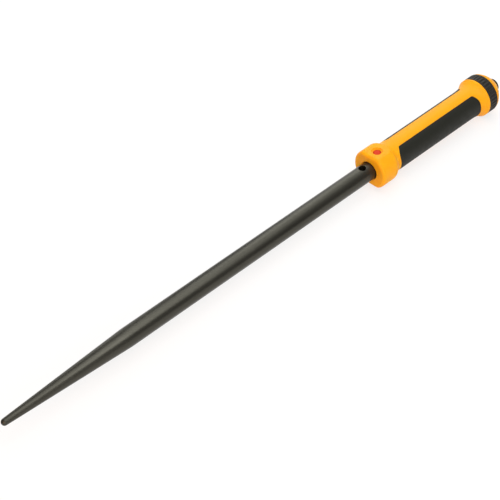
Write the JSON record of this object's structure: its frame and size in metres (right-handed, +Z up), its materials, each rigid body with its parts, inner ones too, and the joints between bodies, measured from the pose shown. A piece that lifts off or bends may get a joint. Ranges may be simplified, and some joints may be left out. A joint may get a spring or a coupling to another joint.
{
  "type": "alignment bar",
  "caption": "Long tapered steel alignment bar with a cross-drilled shank that slides in a moulded handle, a push-button lock in the collar and a strike cap.",
  "frame": {"origin": "centre of the strike cap's flat face, at the handle's end", "axes": "+X out of the strike face, with the bar lying along -X; +Z up through the lock button; +Y to the left grip panel"},
  "size_m": [0.6148, 0.0402, 0.0402],
  "materials": {
    "orange_moulding": "satin moulded",
    "soft_grip": "matte, lightly textured",
    "ring_rubber": "matte, ribbed",
    "dark_steel": "satin dark oxide",
    "plain_steel": "turned",
    "bearing": "plain",
    "red_button": "smooth"
  },
  "bodies": {
    "handle": {"handle_shell": "orange_moulding", "grip_left": "soft_grip", "grip_right": "soft_grip", "wiper_ring": "soft_grip", "front_bush": "bearing", "tube_bush": "bearing", "guide_tube": "plain_steel", "body_pin_left": "plain_steel", "body_pin_right": "plain_steel", "strike_anvil": "plain_steel", "anvil_pin": "plain_steel", "end_ring": "ring_rubber", "end_cap": "orange_moulding", "strike_cap": "dark_steel", "lock_spring": "plain_steel"},
    "bar": {"shank": "dark_steel", "slide_ring": "bearing", "guide_pin": "plain_steel"},
    "lock": {"lock_button": "red_button", "lock_yoke": "plain_steel", "lock_pin": "plain_steel"}
  },
  "joints": [
    {"name": "shank_slide", "type": "slide", "parent": "handle", "child": "bar", "axis": [-1, 0, 0], "range_m": [-0.0206, 0.0824]},
    {"name": "button_press", "type": "slide", "parent": "handle", "child": "lock", "axis": [0, 0, -1], "range_m": [0, 0.0015], "stiffness_N_per_m": 1500, "springref_m": -0.0015, "deforming": ["lock_spring"]}
  ]
}
